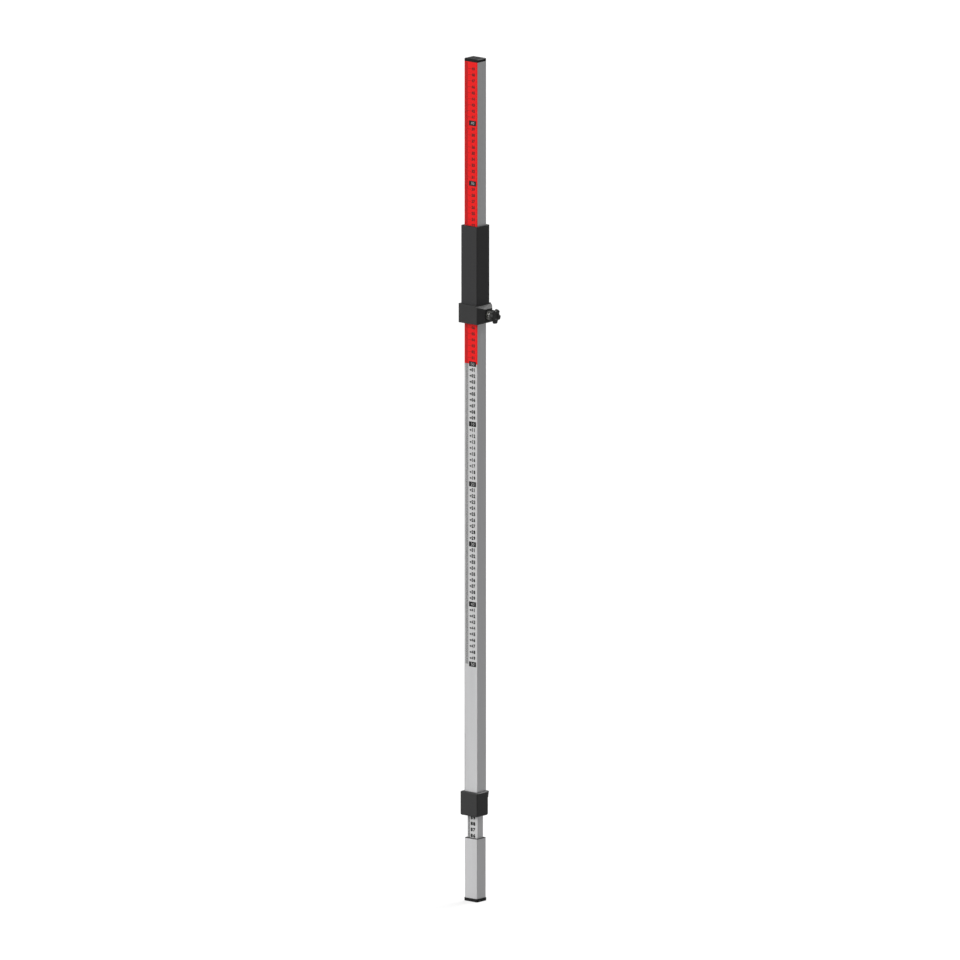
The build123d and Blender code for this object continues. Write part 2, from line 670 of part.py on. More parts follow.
pieces = {
    "foot_cap": make_foot_cap(),
    "foot_sleeve": make_foot_sleeve(),
    "foot_bush": make_foot_bush(),
    "foot_rivets": make_foot_rivets(),
    "inner_tube": make_inner_tube(),
    "inner_scale": make_inner_scale(),
    "stop_collar": make_stop_collar(),
    "top_guide": make_top_guide(),
    "guide_pins": make_guide_pins(),
    "outer_tube": make_outer_tube(),
    "top_cap": make_top_cap(),
    "plus_scale": make_plus_scale(),
    "minus_scale": make_minus_scale(),
    "clamp_housing": make_clamp_housing(),
    "throat_bush": make_throat_bush(),
    "housing_screws": make_housing_screws(),
    "lever_pin": make_lever_pin(),
    "clamp_lever": make_clamp_lever(),
    "clamp_shoe": make_clamp_shoe(),
    "carriage_sleeve": make_carriage_sleeve(),
    "carriage_collar": make_carriage_collar(),
    "upper_liner": make_upper_liner(),
    "lower_liner": make_lower_liner(),
    "carriage_screws": make_carriage_screws(),
    "threaded_insert": make_threaded_insert(),
    "pressure_pad": make_pressure_pad(),
    "clamp_screw": make_clamp_screw(),
    "star_knob": make_star_knob(),
}

os.makedirs("parts", exist_ok=True)
for name, piece in pieces.items():
    export_step(piece, f"parts/{name}.step")
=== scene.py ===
import json
import math

import bmesh
import bpy
from mathutils import Matrix, Vector


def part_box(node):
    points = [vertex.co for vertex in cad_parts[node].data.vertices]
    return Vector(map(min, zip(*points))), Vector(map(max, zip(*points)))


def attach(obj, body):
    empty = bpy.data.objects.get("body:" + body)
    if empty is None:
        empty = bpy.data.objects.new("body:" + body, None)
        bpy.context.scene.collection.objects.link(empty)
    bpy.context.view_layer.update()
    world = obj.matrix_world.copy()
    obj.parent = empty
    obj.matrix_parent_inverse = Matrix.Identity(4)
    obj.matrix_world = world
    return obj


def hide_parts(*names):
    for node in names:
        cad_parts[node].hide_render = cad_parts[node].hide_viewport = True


# Leveling staff: finishes, printed scales, fasteners, knob and studio round the CAD frame
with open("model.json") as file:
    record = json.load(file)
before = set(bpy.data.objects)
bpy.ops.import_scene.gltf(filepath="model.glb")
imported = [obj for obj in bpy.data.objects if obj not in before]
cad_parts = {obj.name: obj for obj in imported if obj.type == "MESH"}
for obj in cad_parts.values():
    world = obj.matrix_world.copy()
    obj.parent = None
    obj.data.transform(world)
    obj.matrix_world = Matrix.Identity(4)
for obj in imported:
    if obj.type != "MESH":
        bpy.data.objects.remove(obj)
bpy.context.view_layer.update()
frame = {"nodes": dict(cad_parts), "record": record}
nodes = frame["nodes"]
joints = {joint["name"]: joint for joint in frame["record"]["behaviour"]["joints"]}
mm = 0.001


# Material tools

def linear(hexCode):  # sRGB hex to linear RGBA
    parts = [int(hexCode[i:i + 2], 16) / 255 for i in (1, 3, 5)]
    return [c / 12.92 if c <= 0.04045 else ((c + 0.055) / 1.055) ** 2.4 for c in parts] + [1.0]


def perMm(x, y, z):  # mapping scale for a pattern whose cells are x, y and z mm across
    return [1 / (x * mm), 1 / (y * mm), 1 / (z * mm)]


def addNode(tree, kind, inputs=None, **settings):  # one node, its settings and what feeds it
    node = tree.nodes.new(kind)
    for name, value in settings.items():
        setattr(node, name, value)
    for socket, value in (inputs or {}).items():
        if isinstance(value, bpy.types.NodeSocket):
            tree.links.new(value, node.inputs[socket])
        else:
            node.inputs[socket].default_value = value
    return node


def startMaterial(name, **sockets):  # new material with uniform values on its shader
    made = bpy.data.materials.new(name)
    made.use_nodes = True
    tree = made.node_tree
    shader = tree.nodes["Principled BSDF"]
    for socket, value in sockets.items():
        shader.inputs[socket.replace("_", " ")].default_value = value
    place = addNode(tree, "ShaderNodeTexCoord").outputs["Object"]
    return made, tree, shader, place


def feed(tree, shader, **sources):  # links what has been worked out to the shader
    for socket, source in sources.items():
        tree.links.new(source, shader.inputs[socket.replace("_", " ")])


# Finishes, each from what the real surface is

def followPattern(tree, shader, pattern, dark, pale, dullness, relief=None):  # colour, gloss and relief
    colour = addNode(tree, "ShaderNodeMix", {0: pattern, 6: linear(dark), 7: linear(pale)}, data_type="RGBA")
    least, most = dullness
    gloss = addNode(tree, "ShaderNodeMapRange", {"Value": pattern, "To Min": least, "To Max": most})
    feed(tree, shader, Base_Color=colour.outputs[2], Roughness=gloss.outputs[0])
    if relief:
        depth, strength = relief  # mm, and share of it
        bump = addNode(tree, "ShaderNodeBump", {"Height": pattern, "Distance": depth * mm,
                                                "Strength": strength})
        feed(tree, shader, Normal=bump.outputs[0])


def anodisedAluminium():  # clear-anodised extrusion: satin sheen and faint die lines along its length
    made, tree, shader, place = startMaterial("anodised_aluminium", Metallic=1.0)
    # the lines are drawn coarser than the real 0.2 mm
    along = addNode(tree, "ShaderNodeMapping", {"Vector": place, "Scale": perMm(1.6, 1.6, 220)})
    lines = addNode(tree, "ShaderNodeTexNoise", {"Vector": along.outputs[0], "Scale": 1.0, "Detail": 3.0})
    followPattern(tree, shader, lines.outputs[0], "#C2C2C3", "#D2D2D3", (0.38, 0.6), (0.02, 0.4))
    return made


def anodisedBlack():  # black-anodised extrusion: satin, with the same faint die lines
    made, tree, shader, place = startMaterial("anodised_black", Specular_IOR_Level=0.35)
    along = addNode(tree, "ShaderNodeMapping", {"Vector": place, "Scale": perMm(1.8, 1.8, 160)})
    lines = addNode(tree, "ShaderNodeTexNoise", {"Vector": along.outputs[0], "Scale": 1.0, "Detail": 3.0})
    followPattern(tree, shader, lines.outputs[0], "#232324", "#2B2B2C", (0.44, 0.6), (0.02, 0.4))
    return made


def texturedNylon():  # glass-filled nylon from a spark-eroded mould: fine even grain, dull
    made, tree, shader, place = startMaterial("textured_nylon", IOR=1.53, Specular_IOR_Level=0.35)
    patches = addNode(tree, "ShaderNodeMapping", {"Vector": place, "Scale": perMm(9, 9, 9)})
    cloud = addNode(tree, "ShaderNodeTexNoise", {"Vector": patches.outputs[0], "Scale": 1.0, "Detail": 3.0})
    followPattern(tree, shader, cloud.outputs[0], "#222222", "#2A2A2A", (0.48, 0.66))
    grit = addNode(tree, "ShaderNodeMapping", {"Vector": place, "Scale": perMm(0.35, 0.35, 0.35)})
    grain = addNode(tree, "ShaderNodeTexNoise", {"Vector": grit.outputs[0], "Scale": 1.0, "Detail": 2.0})
    bump = addNode(tree, "ShaderNodeBump", {"Height": grain.outputs[0], "Distance": 0.035 * mm,
                                            "Strength": 0.7})
    feed(tree, shader, Normal=bump.outputs[0])
    return made


def smoothPolythene():  # smooth moulded polyethylene: waxy black with slight flow marks
    made, tree, shader, place = startMaterial("smooth_polythene", IOR=1.51, Specular_IOR_Level=0.17)
    streaks = addNode(tree, "ShaderNodeMapping", {"Vector": place, "Scale": perMm(7, 7, 3)})
    flow = addNode(tree, "ShaderNodeTexNoise", {"Vector": streaks.outputs[0], "Scale": 1.0, "Detail": 3.0})
    followPattern(tree, shader, flow.outputs[0], "#121212", "#191919", (0.38, 0.54), (0.03, 0.5))
    return made


def printedTape(name, dark, pale):  # printed polyester film: even colour, matt, a slight ripple
    made, tree, shader, place = startMaterial(name, IOR=1.57, Specular_IOR_Level=0.2)
    lengths = addNode(tree, "ShaderNodeMapping", {"Vector": place, "Scale": perMm(6, 6, 90)})
    drift = addNode(tree, "ShaderNodeTexNoise", {"Vector": lengths.outputs[0], "Scale": 1.0, "Detail": 3.0})
    followPattern(tree, shader, drift.outputs[0], dark, pale, (0.5, 0.62), (0.05, 0.3))
    return made


def screenInk(name, dark, pale):  # screen-printed ink: flat, with the faint weave of the screen
    made, tree, shader, place = startMaterial(name, IOR=1.5, Specular_IOR_Level=0.25)
    weave = addNode(tree, "ShaderNodeMapping", {"Vector": place, "Scale": perMm(0.4, 0.4, 0.4)})
    mesh = addNode(tree, "ShaderNodeTexNoise", {"Vector": weave.outputs[0], "Scale": 1.0, "Detail": 2.0})
    followPattern(tree, shader, mesh.outputs[0], dark, pale, (0.48, 0.64))
    return made


def machinedAcetal(name, dark, pale):  # machined acetal: waxy, with faint tool marks
    made, tree, shader, place = startMaterial(name, IOR=1.48, Specular_IOR_Level=0.3)
    rings = addNode(tree, "ShaderNodeMapping", {"Vector": place, "Scale": perMm(5, 5, 0.5)})
    marks = addNode(tree, "ShaderNodeTexNoise", {"Vector": rings.outputs[0], "Scale": 1.0, "Detail": 3.0})
    followPattern(tree, shader, marks.outputs[0], dark, pale, (0.34, 0.5), (0.02, 0.5))
    return made


def zincSteel():  # bright zinc plate on steel: silvery and slightly cloudy
    made, tree, shader, place = startMaterial("zinc_steel", Metallic=1.0)
    spangle = addNode(tree, "ShaderNodeMapping", {"Vector": place, "Scale": perMm(1.5, 1.5, 1.5)})
    cloud = addNode(tree, "ShaderNodeTexNoise", {"Vector": spangle.outputs[0], "Scale": 1.0, "Detail": 3.0})
    followPattern(tree, shader, cloud.outputs[0], "#B8B9B8", "#D8D8D5", (0.18, 0.36))
    return made


def dullPlating():  # dark dull plating over turned steel: the lathe's rings still show
    made, tree, shader, place = startMaterial("dull_plating", Metallic=1.0)
    turned = addNode(tree, "ShaderNodeMapping", {"Vector": place, "Scale": perMm(40, 1.2, 1.2)})
    rings = addNode(tree, "ShaderNodeTexNoise", {"Vector": turned.outputs[0], "Scale": 1.0, "Detail": 3.0})
    followPattern(tree, shader, rings.outputs[0], "#6C6C68", "#B4B4AE", (0.28, 0.5))
    return made


def hardRubber():  # hard polyurethane: matt, slightly dusty
    made, tree, shader, place = startMaterial("hard_rubber", IOR=1.5, Specular_IOR_Level=0.3)
    specks = addNode(tree, "ShaderNodeMapping", {"Vector": place, "Scale": perMm(0.8, 0.8, 0.8)})
    dust = addNode(tree, "ShaderNodeTexNoise", {"Vector": specks.outputs[0], "Scale": 1.0, "Detail": 3.0})
    followPattern(tree, shader, dust.outputs[0], "#2A2928", "#3A3938", (0.7, 0.84), (0.03, 0.6))
    return made


scaleRed = ("#DC0808", "#E80C0D")  # the tape and the rails beside it are one red
finishes = {  # by the record's slots
    "aluminium": anodisedAluminium(),
    "black_sleeve": anodisedBlack(),
    "black_moulding": texturedNylon(),
    "cap_plastic": smoothPolythene(),
    "red_tape": printedTape("red_polyester", *scaleRed),
    "white_tape": printedTape("white_polyester", "#BCBCBC", "#C5C5C5"),
    "guide_plastic": machinedAcetal("natural_acetal", "#DAD9D4", "#E8E7E2"),
    "shoe_rubber": hardRubber(),
    "steel": zincSteel(),
    "dark_steel": dullPlating(),
}
blackInk = screenInk("black_ink", "#0E0E0E", "#161616")
whiteInk = screenInk("white_ink", "#CECECE", "#D8D8D8")
redInk = screenInk("red_ink", *scaleRed)
blackAcetal = machinedAcetal("black_acetal", "#171717", "#202020")
ownFinish = {"upper_liner": blackAcetal, "lower_liner": blackAcetal}  # no pale edge shows round the sleeve

for part in frame["record"]["subparts"]:
    mesh = nodes[part["node"]].data
    mesh.materials.clear()
    mesh.materials.append(ownFinish.get(part["node"], finishes[part["material_slot"]]))
print("finishes:", len(finishes), "by slot, three inks and black acetal")


# Modelling tools

near = 0.01  # mm within which two heights are the same
weld = 0.0002  # mm within which vertices are merged


def clearSelection():
    if bpy.context.object and bpy.context.object.mode != "OBJECT":
        bpy.ops.object.mode_set(mode="OBJECT")
    bpy.ops.object.select_all(action="DESELECT")


def newest(name):  # names the piece that an operator has just added
    made = bpy.context.object
    made.name = name
    made.data.name = name
    return made


def activate(piece):
    clearSelection()
    piece.select_set(True)
    bpy.context.view_layer.objects.active = piece


def edit(piece):  # edit mode with nothing selected
    activate(piece)
    bpy.ops.object.mode_set(mode="EDIT")
    bpy.ops.mesh.select_all(action="DESELECT")


def pick(piece, kind, test):  # in edit mode, selects the faces, edges or vertices that pass a test
    bpy.ops.mesh.select_mode(type=kind)
    bpy.ops.mesh.select_all(action="DESELECT")
    shape = bmesh.from_edit_mesh(piece.data)
    for part in {"FACE": shape.faces, "EDGE": shape.edges, "VERT": shape.verts}[kind]:
        part.select_set(bool(test(part)))
    shape.select_flush_mode()
    bmesh.update_edit_mesh(piece.data)


def push(x=0.0, y=0.0, z=0.0):  # extrudes what is selected
    bpy.ops.mesh.extrude_region_move(TRANSFORM_OT_translate={"value": (x, y, z)})


def bake(piece):  # puts the piece's place, turn and size into its mesh
    activate(piece)
    bpy.ops.object.transform_apply(location=True, rotation=True, scale=True)


def tidyMesh(piece):  # merged doubles and outward faces
    edit(piece)
    bpy.ops.mesh.select_all(action="SELECT")
    bpy.ops.mesh.remove_doubles(threshold=weld * mm)
    bpy.ops.mesh.normals_make_consistent(inside=False)
    bpy.ops.object.mode_set(mode="OBJECT")


def applyModifiers(piece):
    activate(piece)
    for modifier in list(piece.modifiers):
        bpy.ops.object.modifier_apply(modifier=modifier.name)


def limits(piece):  # lowest and highest corner of a mesh
    points = [v.co for v in piece.data.vertices]
    return [Vector([end(p[i] for p in points) for i in range(3)]) for end in (min, max)]


def copyOf(piece, matrix):  # copy with its own mesh, placed by a matrix
    twin = piece.copy()
    twin.data = piece.data.copy()
    twin.data.transform(matrix)
    bpy.context.collection.objects.link(twin)
    return twin


def joined(name, pieces):
    activate(pieces[0])
    for piece in pieces[1:]:
        piece.select_set(True)
    if len(pieces) > 1:
        bpy.ops.object.join()
    return newest(name)


def finishPiece(piece, body, finish, stands=(), smooth=35):  # smooth is in degrees
    activate(piece)
    bpy.ops.object.shade_smooth_by_angle(angle=math.radians(smooth))
    piece.data.materials.clear()
    piece.data.materials.append(finish)
    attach(piece, body)
    if stands:
        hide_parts(*stands)


# Printed scales: ticks, numbers and boxes of ink on the tapes, which face -Y

inkBed = 0.01  # mm that ink is sunk into the film, so that no faces coincide
typeSize = 10  # mm, the size that the digits' weight and bold are given for
typeSteps = 3  # curve steps of a digit
typeFlat = 1  # degrees within which a digit's faces become one
mostGain = {3: (0.35, 0.42), 4: (0.0, 0.4)}  # mm of weight and bold that a digit takes before its bends close


def inkBlock(name, x, z, face, height):  # flat block of ink between limits in mm
    clearSelection()
    bpy.ops.mesh.primitive_plane_add(size=1, rotation=(math.radians(90), 0, 0))
    piece = newest(name)
    piece.scale = ((x[1] - x[0]) * mm, (z[1] - z[0]) * mm, 1)
    piece.location = (sum(x) / 2 * mm, face + inkBed * mm, sum(z) / 2 * mm)
    bake(piece)
    edit(piece)
    bpy.ops.mesh.select_all(action="SELECT")
    push(y=-(height + inkBed) * mm)
    tidyMesh(piece)
    return piece


def tickColumn(name, x, thickness, face, ink, first, count):  # one tick, repeated every millimetre
    tick = inkBlock(name, x, (first - thickness / 2, first + thickness / 2), face, ink)
    array = tick.modifiers.new("everyMillimetre", "ARRAY")
    array.use_relative_offset = False
    array.use_constant_offset = True
    array.constant_offset_displace = (0, 0, mm)
    array.count = count
    applyModifiers(tick)
    return tick


def digitSet(style, face):  # the ten digits, each made once, centred on X 0 and Z 0 of the tape's face
    digits = []
    for digit in range(10):
        clearSelection()
        bpy.ops.object.text_add(rotation=(math.radians(90), 0, 0))
        text = bpy.context.object
        text.data.body = str(digit)
        text.data.size = typeSize * mm
        text.data.resolution_u = typeSteps
        text.data.align_x = "CENTER"
        mostWeight, mostBold = mostGain.get(digit, (style["weight"], style["bold"]))
        text.data.offset = min(style["weight"], mostWeight) * mm
        text.data.bevel_depth = min(style["bold"], mostBold) * mm  # widens the strokes evenly
        text.data.bevel_resolution = 0
        bpy.ops.object.convert(target="MESH")
        made = newest(f"digit{digit}")
        bake(made)
        tidyMesh(made)
        edit(made)
        pick(made, "FACE", lambda f: f.normal.y > 0.01)  # the half that lies in the film
        bpy.ops.mesh.delete(type="FACE")
        bpy.ops.mesh.select_all(action="SELECT")
        bpy.ops.mesh.dissolve_limited(angle_limit=math.radians(typeFlat))
        bpy.ops.object.mode_set(mode="OBJECT")
        digits.append(made)
    low, high = limits(digits[0])
    zeroWidth = high.x - low.x
    onFace = Matrix.Translation((0, face + inkBed * mm, 0))
    for digit, made in enumerate(digits):
        low, high = limits(made)
        wide = zeroWidth if digit == 1 else high.x - low.x  # a 1 stays narrow, the others are as wide as a 0
        centre = Matrix.Translation((-(low.x + high.x) / 2, 0, -(low.z + high.z) / 2))
        fit = Matrix.Diagonal((style["digitWidth"] * mm / wide, (style["ink"] + inkBed) * mm / -low.y,
                               style["digitHeight"] * mm / (high.z - low.z), 1))
        made.data.transform(onFace @ fit @ centre)
    return digits


def writeNumber(digits, style, number, x, z):  # copies of the digits, centred on x, z in mm
    text = f"{number:02d}"
    squeeze = min(1.0, style["room"] / (style["pitch"] * len(text)))  # three digits are narrower
    copies = []
    for place, letter in enumerate(text):
        shift = (place - (len(text) - 1) / 2) * style["pitch"] * squeeze
        move = Matrix.Translation(((x + shift) * mm, 0, z * mm)) @ Matrix.Diagonal((squeeze, 1, 1, 1))
        copies.append(copyOf(digits[int(letter)], move))
    return copies


def pointer(style, face, z):  # small triangle that points at the ticks
    clearSelection()
    bpy.ops.mesh.primitive_circle_add(vertices=3, radius=mm, fill_type="NGON",
                                      rotation=(math.radians(90), math.radians(-90), 0))
    piece = newest("pointer")
    bake(piece)
    low, high = limits(piece)
    left, right = style["pointer"]
    centre = Matrix.Translation((-low.x, 0, -(low.z + high.z) / 2))
    fit = Matrix.Diagonal(((right - left) * mm / (high.x - low.x), 1,
                           style["pointerHeight"] * mm / (high.z - low.z), 1))
    onFace = Matrix.Translation((left * mm, face + inkBed * mm, z * mm))
    piece.data.transform(onFace @ fit @ centre)
    edit(piece)
    bpy.ops.mesh.select_all(action="SELECT")
    push(y=-(style["ink"] + inkBed) * mm)
    tidyMesh(piece)
    return piece


outerPrint = {  # mm on the tapes of the outer tube
    "minusTicks": (-11.6, -5.4), "minusTickThickness": 0.5,
    "plusTicks": (-12.4, -6.3), "plusTickThickness": 0.36,
    "ink": 0.025, "minusNumberX": 5.5, "plusNumberX": 5.0, "numberRise": 0.4,
    "cmLine": (-6.3, 1.0), "cmLineThickness": 0.35, "pointer": (-3.6, 1.0), "pointerHeight": 4.2,
    "box": (-4.0, 11.0), "boxHeight": 8.3, "boxNumberX": 3.6,
    "half": 500, "boxEvery": 10,
}
minusDigits = {"digitWidth": 3.9, "digitHeight": 6.6, "pitch": 4.05, "room": 8.1, "weight": 0.3,
               "bold": 0.6, "ink": 0.025}
plusDigits = {"digitWidth": 3.3, "digitHeight": 5.3, "pitch": 3.5, "room": 8.0, "weight": 0.2,
              "bold": 0.5, "ink": 0.025}
boxDigits = {"digitWidth": 3.1, "digitHeight": 5.0, "pitch": 4.0, "room": 12.0, "weight": -0.25,
             "bold": 0.17, "ink": 0.04}


def printOuterScale():
    style = outerPrint
    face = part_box("minus_scale")[0].y
    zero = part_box("plus_scale")[0].z / mm
    below, above, white = digitSet(minusDigits, face), digitSet(plusDigits, face), digitSet(boxDigits, face)
    minus = [tickColumn("minusTicks", style["minusTicks"], style["minusTickThickness"], face, style["ink"],
                        zero - style["half"], style["half"] + 1)]
    plus = [tickColumn("plusTicks", style["plusTicks"], style["plusTickThickness"], face, style["ink"],
                       zero + 1, style["half"])]
    numbers = []
    for cm in range(-style["half"] // 10, style["half"] // 10):
        z = zero + 10 * cm
        if cm % style["boxEvery"] == 0:
            half = style["boxHeight"] / 2
            box = inkBlock("box", style["box"], (z - half, z + half), face, style["ink"])
            (plus if cm > 0 else minus).append(box)
            numbers += writeNumber(white, boxDigits, abs(cm), style["boxNumberX"], z)
        elif cm < 0:
            minus += writeNumber(below, minusDigits, -cm, style["minusNumberX"], z + style["numberRise"])
            minus.append(pointer(style, face, z))
        else:
            plus += writeNumber(above, plusDigits, cm, style["plusNumberX"], z + style["numberRise"])
            half = style["cmLineThickness"] / 2
            plus.append(inkBlock("cmLine", style["cmLine"], (z - half, z + half), face, style["ink"]))
    for digit in below + above + white:
        bpy.data.objects.remove(digit)
    print("outer scale:", len(plus) + len(minus) + len(numbers), "marks")
    finishPiece(joined("plus_print", plus), "outer_staff", blackInk)
    finishPiece(joined("minus_print", minus), "outer_staff", blackInk)
    finishPiece(joined("box_numbers", numbers), "outer_staff", whiteInk)


innerPrint = {  # mm on the inner tape, which reads the zero mark's height at the clamp's lower edge
    "ticks": (-9.4, -5.5), "tickThickness": 0.54, "ink": 0.025, "numberX": 0.85, "numberRise": 2.4,
}
innerDigits = {"digitWidth": 5.1, "digitHeight": 6.7, "pitch": 5.3, "room": 10.6, "weight": 0.35,
               "bold": 0.6, "ink": 0.025}


def printInnerScale():
    style = innerPrint
    low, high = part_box("inner_scale")
    digits = digitSet(innerDigits, low.y)
    lift = (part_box("plus_scale")[0].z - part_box("clamp_housing")[0].z) / mm  # zero mark above the clamp's edge
    first, last = math.ceil(low.z / mm), math.floor(high.z / mm)
    marks = [tickColumn("innerTicks", style["ticks"], style["tickThickness"], low.y, style["ink"],
                        first, last - first)]
    for cm in range(math.ceil((first + lift) / 10), math.floor((last + lift) / 10)):
        marks += writeNumber(digits, innerDigits, cm, style["numberX"], 10 * cm - lift + style["numberRise"])
    for digit in digits:
        bpy.data.objects.remove(digit)
    print("inner scale:", len(marks), "marks")
    finishPiece(joined("inner_print", marks), "lower_staff", blackInk)


railPaint = {"height": 0.02, "facing": 0.5}  # mm, and how far round the tube's corners the red goes


def paintRails():  # the red ground is printed on the tube's rails too, beside the red tape
    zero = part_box("plus_scale")[0].z
    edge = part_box("plus_scale")[1].x
    piece = bpy.data.objects.new("rail_paint", nodes["outer_tube"].data.copy())
    bpy.context.collection.objects.link(piece)
    edit(piece)
    pick(piece, "FACE", lambda f: f.normal.y > -railPaint["facing"] or abs(f.calc_center_median().x) < edge)
    bpy.ops.mesh.delete(type="FACE")
    bpy.ops.mesh.select_all(action="SELECT")
    bpy.ops.mesh.bisect(plane_co=(0, 0, zero), plane_no=(0, 0, 1), clear_inner=True)
    tidyMesh(piece)
    shell = piece.modifiers.new("layer", "SOLIDIFY")
    shell.thickness = (railPaint["height"] + inkBed) * mm
    shell.offset = (railPaint["height"] - inkBed) / (railPaint["height"] + inkBed)
    applyModifiers(piece)
    finishPiece(piece, "outer_staff", redInk)
    print("rail paint:", len(piece.data.polygons), "faces")


printOuterScale()
printInnerScale()
paintRails()


# Star knob: the lobed head with soft rims, a dish in its face and a hub towards the collar

knob = {  # mm
    "lobes": 5, "turned": 54.6, "radius": 12.2, "scallopRadius": 4.6, "scallopDepth": 2.9, "blend": 1.1,
    "hubRadius": 6.0, "hubLength": 5.0, "hubRound": 0.5, "hubSteps": 2, "rimRound": 1.5, "rimSteps": 4,
    "rimSlack": 0.6, "dishRadius": 5.0, "dishDepth": 0.75, "points": 120, "seam": 0.02,
}


def knobRadius(angle):  # soft least of the round head and the nearest scallop
    step = 2 * math.pi / knob["lobes"]
    first = math.radians(knob["turned"]) + step / 2
    off = (angle - first + step / 2) % step - step / 2
    far = knob["radius"] + knob["scallopRadius"] - knob["scallopDepth"]
    inside = knob["scallopRadius"] ** 2 - (far * math.sin(off)) ** 2
    if inside <= 0:
        return knob["radius"]
    scallop = far * math.cos(off) - math.sqrt(inside)
    mixing = max(knob["blend"] - abs(knob["radius"] - scallop), 0) / knob["blend"]
    return min(knob["radius"], scallop) - mixing ** 2 * knob["blend"] / 4


def ringRadius(vert, axis):  # distance of a vertex from an axis along X
    return math.hypot(vert.co.y - axis.y, vert.co.z - axis.z)


def roundOff(piece, axis, radius):  # puts the selected vertices on a circle round the axis
    shape = bmesh.from_edit_mesh(piece.data)
    for vert in [v for v in shape.verts if v.select]:
        angle = math.atan2(vert.co.z - axis.z, vert.co.y - axis.y)
        vert.co.y = axis.y + radius * math.cos(angle)
        vert.co.z = axis.z + radius * math.sin(angle)
    bmesh.update_edit_mesh(piece.data)


def makeKnob():
    low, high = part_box("star_knob")
    axis = Vector(joints["knob_turn"]["pos_m"])
    back = low.x + knob["hubLength"] * mm
    clearSelection()
    bpy.ops.mesh.primitive_circle_add(vertices=knob["points"], radius=mm, fill_type="NGON",
                                      rotation=(0, math.radians(90), 0), location=(back, axis.y, axis.z))
    piece = newest("knob_head")
    bake(piece)
    for vert in piece.data.vertices:
        angle = math.atan2(vert.co.z - axis.z, vert.co.y - axis.y)
        reach = knobRadius(angle) * mm
        vert.co.y = axis.y + reach * math.cos(angle)
        vert.co.z = axis.z + reach * math.sin(angle)
    edit(piece)
    bpy.ops.mesh.select_all(action="SELECT")
    push(x=high.x - back)
    # dish in the face: an inset made round, then sunk
    pick(piece, "FACE", lambda f: abs(f.calc_center_median().x - high.x) < near * mm)
    bpy.ops.mesh.inset(thickness=knob["seam"] * mm)
    roundOff(piece, axis, knob["dishRadius"] * mm)
    push(x=-knob["dishDepth"] * mm)
    roundOff(piece, axis, (knob["dishRadius"] - knob["dishDepth"]) * mm)
    # hub on the back: an inset made round, then drawn out
    pick(piece, "FACE", lambda f: abs(f.calc_center_median().x - back) < near * mm)
    bpy.ops.mesh.inset(thickness=knob["seam"] * mm)
    roundOff(piece, axis, knob["hubRadius"] * mm)
    push(x=low.x - back)
    # soft rims round the head, then the hub's edge
    lobe = (knob["radius"] - knob["scallopDepth"] - knob["rimSlack"]) * mm
    pick(piece, "EDGE", lambda e: all(ringRadius(v, axis) > lobe for v in e.verts)
         and abs(e.verts[0].co.x - e.verts[1].co.x) < near * mm)
    bpy.ops.mesh.bevel(offset=knob["rimRound"] * mm, segments=knob["rimSteps"], profile=0.5)
    pick(piece, "EDGE", lambda e: all(abs(v.co.x - low.x) < near * mm for v in e.verts))
    bpy.ops.mesh.bevel(offset=knob["hubRound"] * mm, segments=knob["hubSteps"], profile=0.5)
    tidyMesh(piece)
    finishPiece(piece, "clamp_knob", finishes["black_moulding"], ["star_knob"], smooth=40)
    print("knob:", len(piece.data.polygons), "faces")


makeKnob()


# Clamp screw: metric thread between the insert and the knob

thread = {  # mm
    "pitch": 1.0, "depth": 0.55, "steps": 8, "sides": 40, "flankGain": 1.3, "crestFlat": 0.15,
    "tipRadius": 2.0, "tipLength": 1.5, "tipStep": 0.3,
}


def makeClampScrew():
    low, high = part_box("clamp_screw")
    axis = Vector(joints["knob_turn"]["pos_m"])
    start = low.x + thread["tipLength"] * mm
    radius = (high.z - low.z) / 2
    length = high.x - start
    clearSelection()
    bpy.ops.mesh.primitive_cylinder_add(vertices=thread["sides"], radius=radius, depth=length,
                                        rotation=(0, math.radians(90), 0),
                                        location=(start + length / 2, axis.y, axis.z))
    piece = newest("threaded_screw")
    bake(piece)
    edit(piece)
    pick(piece, "EDGE", lambda e: abs(e.verts[0].co.x - e.verts[1].co.x) > length / 2)
    bpy.ops.mesh.subdivide(number_cuts=round(length / mm / thread["pitch"] * thread["steps"]) - 1)
    shape = bmesh.from_edit_mesh(piece.data)
    for vert in shape.verts:
        angle = math.atan2(vert.co.z - axis.z, vert.co.y - axis.y)
        turn = ((vert.co.x - start) / mm / thread["pitch"] - angle / (2 * math.pi)) % 1.0
        flank = abs(2 * turn - 1)  # 1 at a root, 0 at a crest
        sunk = min(max(flank * thread["flankGain"] - thread["crestFlat"], 0), 1)
        reach = radius - thread["depth"] * mm * sunk
        vert.co.y = axis.y + reach * math.cos(angle)
        vert.co.z = axis.z + reach * math.sin(angle)
    bmesh.update_edit_mesh(piece.data)
    # plain tip that seats in the pad
    pick(piece, "FACE", lambda f: len(f.verts) > 4 and abs(f.calc_center_median().x - start) < near * mm)
    bpy.ops.mesh.inset(thickness=thread["tipStep"] * mm)
    roundOff(piece, axis, thread["tipRadius"] * mm)
    push(x=low.x - start)
    tidyMesh(piece)
    finishPiece(piece, "clamp_knob", finishes["steel"], ["clamp_screw"])
    print("clamp screw:", len(piece.data.polygons), "faces")


makeClampScrew()


# Screws and rivets, each modelled once along +Z and copied to its place

screw = {  # mm
    "headRadius": 2.6, "headHeight": 1.8, "shankRadius": 1.4, "crown": 0.45, "crownSteps": 3,
    "slot": 0.75, "slotLength": 3.0, "slotDepth": 1.1, "slotTaper": 0.55, "sides": 32,
}


